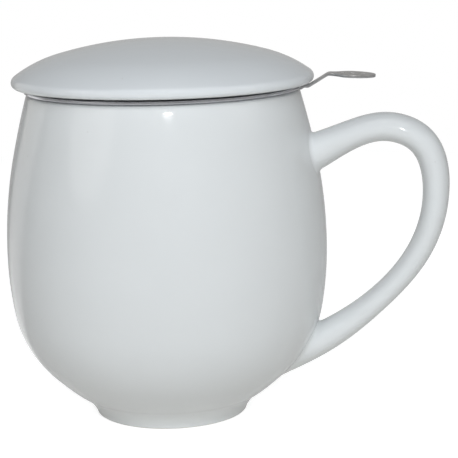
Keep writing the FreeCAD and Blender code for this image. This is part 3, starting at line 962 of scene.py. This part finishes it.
def makeWelds():
    p, w = pierced, weld
    same = {"Size": w["size"], "Depth": w["depth"], "Metal": steels["piercedSteel"]}
    seam = grown("seamWelds", weldTree, {
        "Around": 1, "Rows": w["seamCount"], "Length": w["seamLength"], "Height": w["seamUp"],
        "Radius": p["radius"] + p["sheet"] * 1.5 - w["sunk"], **same})
    collar = grown("collarWelds", weldTree, {
        "Around": w["collarCount"], "Rows": 1, "Length": 0.0, "Height": w["collarUp"],
        "Radius": rim["collarRadius"], **same})
    return joinPieces("infuserWelds", seam, collar)


finishPiece(makeSleeve(), "infuser", steels["piercedSteel"], "perforated_steel", "infuser_wall")
finishPiece(makeWelds(), "infuser", steels["piercedSteel"], "perforated_steel")
print("sleeve made")

# Base disc: pierced in the middle, which is pressed up inside its plain margin
disc = {"bottom": 29.34, "sheet": 0.4, "dish": 1.2, "radius": 33.95, "margin": 3.6, "shoulder": 3.0,
        "pitch": 2.2, "field": 26.6, "rowShare": 1.16, "overlap": 1.3, "steps": 192}


def makeDisc():
    d = disc
    lift = d["bottom"] + d["dish"] + d["sheet"] / 2
    count = int(2 * d["field"] / d["pitch"]) + 3
    field = grown("discField", discTree, {
        "Columns": count, "Rows": int(count * d["rowShare"]) | 1, "Pitch": d["pitch"],
        "Hole": pierced["hole"], "Sheet": d["sheet"], "Radius": d["field"], "Height": lift,
        "Metal": steels["piercedSteel"]})
    cover, sheet = pierced["cover"], d["sheet"]
    flat = d["radius"] - d["margin"]
    raised = flat - d["shoulder"]
    low, high = d["bottom"], d["bottom"] + d["dish"]
    inner = d["field"] - d["overlap"]
    curve = [(raised + (flat - raised) * t, high + (low - high) * (3 * t * t - 2 * t ** 3))
             for t in (0, *bendShares, 1)]
    line = [(inner, high)] + curve + [(d["radius"], low)]
    profile = [(r, z - cover) for r, z in line] + [(r, z + sheet + cover) for r, z in reversed(line)]
    margin = facedOut(spun("discMargin", profile, d["steps"], closed=True, sharpDegrees=50))
    return joinPieces("infuserDisc", field, margin)


finishPiece(makeDisc(), "infuser", steels["piercedSteel"], "perforated_steel", "infuser_base")
print("disc made")

# Band: clamps disc and sleeve together, turned in under the disc
band = {"inner": 34.0, "sheet": 0.4, "bottom": 28.94, "height": 4.6, "turnIn": 2.6, "bend": 0.75,
        "edge": 0.12, "lipEdge": 0.1, "steps": 192}


def makeBand():
    b = band
    outer, top = b["inner"] + b["sheet"], b["bottom"] + b["height"]
    bend, small = b["bend"], b["bend"] - b["sheet"]
    centre = (outer - bend, b["bottom"] + bend)
    edge, lipEdge = b["edge"], b["lipEdge"]
    lipIn, lipUp = b["inner"] - b["turnIn"], b["bottom"]
    profile = roundPoints(centre, bend, -90, 0, 8)
    profile += stretch((outer, centre[1]), (outer, top - edge), 3)
    profile += roundPoints((outer - edge, top - edge), edge, 0, 90, 3)
    profile += roundPoints((b["inner"] + edge, top - edge), edge, 90, 180, 3)
    profile += roundPoints(centre, small, 0, -90, 5)
    profile += [(lipIn + lipEdge, lipUp + b["sheet"]), (lipIn, lipUp + b["sheet"] - lipEdge),
                (lipIn, lipUp + lipEdge), (lipIn + lipEdge, lipUp)]
    return facedOut(spun("infuserBand", profile, b["steps"], closed=True, sharpDegrees=45))


finishPiece(makeBand(), "infuser", steels["polishedSteel"], "polished_steel", "infuser_base_band")
print("band made")

# Lift tab: cut from sheet with three drain holes, bent up from a root plate on the bead
tab = {
    "sheet": 0.8, "start": 38.55, "height": 92.28, "level": 2.05, "rise": (5.3, 3.25),
    "padLength": 12.9, "padWidth": 11.6, "droop": 0.65, "neckWidth": 4.4, "bend": 1.6,
    "padLead": 0.2, "tipFullness": 0.55, "hole": 1.1, "holePitch": 2.9, "edge": 0.14,
    "rootWidth": 10.0, "rootDrop": 0.95, "rootDown": 0.1, "rootEdge": 0.16, "rootGap": 0.03,
    "rootSteps": 16,
}


# The tab's middle line seen from the side, with its bends rounded, and how far along each point is
def tabLine():
    t = tab
    points = [(t["start"], t["height"]), (t["start"] + t["level"], t["height"])]
    points.append((points[1][0] + t["rise"][0], points[1][1] + t["rise"][1]))
    points.append((points[2][0] + t["padLength"], points[2][1] - t["droop"]))
    points = [np.array(p) for p in points]
    line = [points[0]]
    for before, corner, after in zip(points, points[1:], points[2:]):
        into = (corner - before) / np.linalg.norm(corner - before)
        out = (after - corner) / np.linalg.norm(after - corner)
        turn = math.acos(into.dot(out))
        back = t["bend"] * math.tan(turn / 2)
        a, b = corner - into * back, corner + out * back
        for s in np.linspace(0, 1, 9):
            w = 1 / math.cos(turn / 2)
            blend = (1 - s) ** 2 + 2 * s * (1 - s) / w + s ** 2
            line.append((a * (1 - s) ** 2 + corner * 2 * s * (1 - s) / w + b * s ** 2) / blend)
    line.append(points[-1])
    line = np.array(line)
    return line, lengthsAlong(line)


def addLoop(curve, points):
    spline = curve.splines.new("POLY")
    spline.points.add(len(points) - 1)
    for spot, (x, y) in zip(spline.points, points):
        spot.co = (x * mm, y * mm, 0, 1)
    spline.use_cyclic_u = True


def makeTab():
    t = tab
    line, run = tabLine()
    length = run[-1]
    edge = t["edge"]
    neck, pad = t["neckWidth"] / 2 - edge, t["padWidth"] / 2 - edge
    padStart = run[-2] - t["bend"] * t["padLead"]
    middle = length - t["padLength"] / 2
    flare = (middle - padStart) / 2
    side = [(edge, neck), (padStart, neck)]
    side += bezierPoints((padStart, neck), (padStart + flare, neck), (middle - flare, pad), (middle, pad), 14)
    tip = length - edge
    full = t["tipFullness"]
    side += bezierPoints((middle, pad), (middle + (tip - middle) * full, pad), (tip, pad * full),
                         (tip, 0), 18)
    curve = bpy.data.curves.new("liftTab", "CURVE")
    curve.dimensions = "2D"
    curve.fill_mode = "BOTH"
    curve.extrude = (t["sheet"] / 2 - edge) * mm
    curve.bevel_depth = edge * mm
    curve.bevel_resolution = 2
    addLoop(curve, side + [(x, -y) for x, y in reversed(side[:-1])])
    for number in (-1, 0, 1):
        centre = middle + number * t["holePitch"]
        addLoop(curve, roundPoints((centre, 0), t["hole"] + edge, 0, 360, 28)[:-1])
    piece = link("liftTab", curve)
    flat = bpy.data.meshes.new_from_object(piece.evaluated_get(bpy.context.evaluated_depsgraph_get()))
    bpy.data.objects.remove(piece)
    shape = bmesh.new()
    shape.from_mesh(flat)
    bmesh.ops.remove_doubles(shape, verts=shape.verts, dist=1e-7)
    for cut in run[1:-1]:
        bmesh.ops.bisect_plane(shape, geom=shape.verts[:] + shape.edges[:] + shape.faces[:],
                               plane_co=(cut * mm, 0, 0), plane_no=(1, 0, 0), dist=1e-8)
    slopes = np.gradient(line, run, axis=0)
    slopes /= np.linalg.norm(slopes, axis=1)[:, None]
    for spot in shape.verts:
        far = spot.co.x / mm
        x, z = (np.interp(far, run, line[:, k]) for k in (0, 1))
        dx, dz = (np.interp(far, run, slopes[:, k]) for k in (0, 1))
        spot.co.x, spot.co.z = (x * mm - dz * spot.co.z, z * mm + dx * spot.co.z)
    bmesh.ops.recalc_face_normals(shape, faces=shape.faces)
    mesh = bpy.data.meshes.new("tabSheet")
    shape.to_mesh(mesh)
    shape.free()
    mesh.polygons.foreach_set("use_smooth", [True] * len(mesh.polygons))
    mesh.set_sharp_from_angle(angle=math.radians(50))
    half = math.degrees(t["rootWidth"] / 2 / (rim["radius"] + t["sheet"]))
    middleUp = t["height"] - t["rootDown"]
    root = roundedBand("tabRoot", rim["radius"] + t["rootGap"], rim["radius"] + t["sheet"],
                       middleUp - t["rootDrop"] / 2, middleUp + t["rootDrop"] / 2, t["rootEdge"],
                       t["rootSteps"], -half, half)
    return joinPieces("liftTab", link("tabSheet", mesh), root)


finishPiece(makeTab(), "infuser", steels["tabSteel"], "tab_steel", "lift_tab")
print("tab made")

# Floor and light: a white table, a dim warm surround, a soft cool light from the camera's side,
# a weak one behind, and a small bright lamp that makes the sparks on glaze and steel
studio = {
    "surround": 0.14, "warmth": (1.0, 0.985, 0.96, 1), "floor": (0.9, 0.87, 0.82, 1), "aim": 0.05,
    # mirrored only: the ground behind the mug, the rest, and how near to straight behind they change
    "behind": 0.46, "around": 0.38, "behindFade": (0.87, 0.98),
    # soft panels: turned from the camera's side, up, reach in degrees, brightness
    "panels": [(-62, 24, 22, 0.95), (74, 30, 17, 0.7), (228, 12, 20, 0.6), (0, 78, 26, 1.1)],
    "panelEdge": 0.45,
    "shadow": 0.5, "shadowReach": (0.09, 0.5), "litFloor": 0.34, "tableSize": 30.0,
    # right of the camera's line, out from the mug, up, wide, tall, watts, colour
    "front": (0.03, 1.42, 0.86, 1.4, 1.1, 17.6, (0.90, 0.955, 1.0)),
    "back": (0.0, -1.6, 0.75, 1.2, 0.9, 8.0, (0.93, 0.97, 1.0)),
    "lamp": (0.045, 0.75, 0.418, 0.08, 0.010, 0.6, (1.0, 1.0, 1.0)),
}


def seenPaths(t):                                   # what the camera sees, and mirror images
    path = t.add("ShaderNodeLightPath").outputs
    return path["Is Camera Ray"], t.math("MAXIMUM", path["Is Glossy Ray"], path["Is Transmission Ray"])


# Mirror images show the pale ground behind the mug, grey further round, and a few soft panels
def mirrorLevel(t, way):
    facing = photo["azimuth"]
    behind = tuple(turnedBy(facing) @ Vector((0, 1, 0)))
    level = t.ramp(t.vector("DOT_PRODUCT", way, behind, "Value"), *studio["behindFade"],
                   studio["around"], studio["behind"])
    for turned, up, reach, bright in studio["panels"]:
        tilt = Matrix.Rotation(math.radians(-up), 3, "X")
        towards = tuple(turnedBy(facing + turned) @ tilt @ Vector((0, -1, 0)))
        edge = math.cos(math.radians(reach))
        glow = t.ramp(t.vector("DOT_PRODUCT", way, towards, "Value"), edge,
                      edge + (1 - edge) * studio["panelEdge"], 0.0, bright)
        level = t.math("ADD", level, glow)
    return level


def addFloor():
    half = studio["tableSize"] / 2
    corners = [(-half, -half, 0), (half, -half, 0), (half, half, 0), (-half, half, 0)]
    mesh = bpy.data.meshes.new("tableTop")
    mesh.from_pydata(corners, [], [(0, 1, 2, 3)])
    floor = link("tableTop", mesh)
    material = bpy.data.materials.new("whiteTable")
    t = emptyTree(material)
    where = t.add("ShaderNodeTexCoord").outputs["Object"]
    far = t.vector("LENGTH", where, out="Value")
    way = t.vector("NORMALIZE", where)
    direct, mirrored = seenPaths(t)
    seen = t.math("MAXIMUM", direct, mirrored)
    near, off = studio["shadowReach"]
    shadow = t.ramp(far, near, off, studio["shadow"], 0.0)
    grey = t.get("ShaderNodeCombineColor", {0: shadow, 1: shadow, 2: shadow})
    paint = t.get("ShaderNodeBsdfDiffuse", {"Color": t.mix(seen, studio["floor"], grey)})
    plain = t.math("MULTIPLY_ADD", shadow, -studio["litFloor"], 1.0)
    level = t.math("MULTIPLY_ADD", mirrored, mirrorLevel(t, way), direct)
    strength = t.math("MULTIPLY", plain, level)
    glow = t.get("ShaderNodeEmission", {"Color": (1, 1, 1, 1), "Strength": strength})
    both = t.get("ShaderNodeAddShader", {0: paint, 1: glow})
    t.join(both, t.add("ShaderNodeOutputMaterial").inputs[0])
    floor.data.materials.append(material)


def addSurround():
    world = bpy.data.worlds.new("surround")
    bpy.context.scene.world = world
    t = emptyTree(world)
    way = t.add("ShaderNodeTexCoord").outputs["Generated"]
    direct, mirrored = seenPaths(t)
    level = t.ramp(mirrored, 0, 1, studio["surround"], mirrorLevel(t, way))
    level = t.ramp(direct, 0, 1, level, 1.0)
    color = t.mix(direct, studio["warmth"], (1, 1, 1, 1))
    glow = t.get("ShaderNodeBackground", {"Color": color, "Strength": level})
    t.join(glow, t.add("ShaderNodeOutputWorld").inputs[0])


def addAreaLight(name, mirrored=True):
    right, out, up, wide, tall, power, color = studio[name]
    data = bpy.data.lights.new(name, "AREA")
    data.shape = "RECTANGLE"
    data.size, data.size_y = wide, tall
    data.energy = power
    data.color = color
    light = bpy.data.objects.new(name, data)
    light.location = turnedBy(photo["azimuth"]) @ Vector((right, -out, up))
    light.rotation_mode = "QUATERNION"
    aim = Vector((0, 0, studio["aim"])) - light.location
    light.rotation_quaternion = aim.to_track_quat("-Z", "Y")
    light.visible_glossy = mirrored
    bpy.context.collection.objects.link(light)


addFloor()
addSurround()
addAreaLight("front", mirrored=False)
addAreaLight("back", mirrored=False)
addAreaLight("lamp")
bpy.context.scene.view_settings.view_transform = "Standard"
print("floor and lights set")
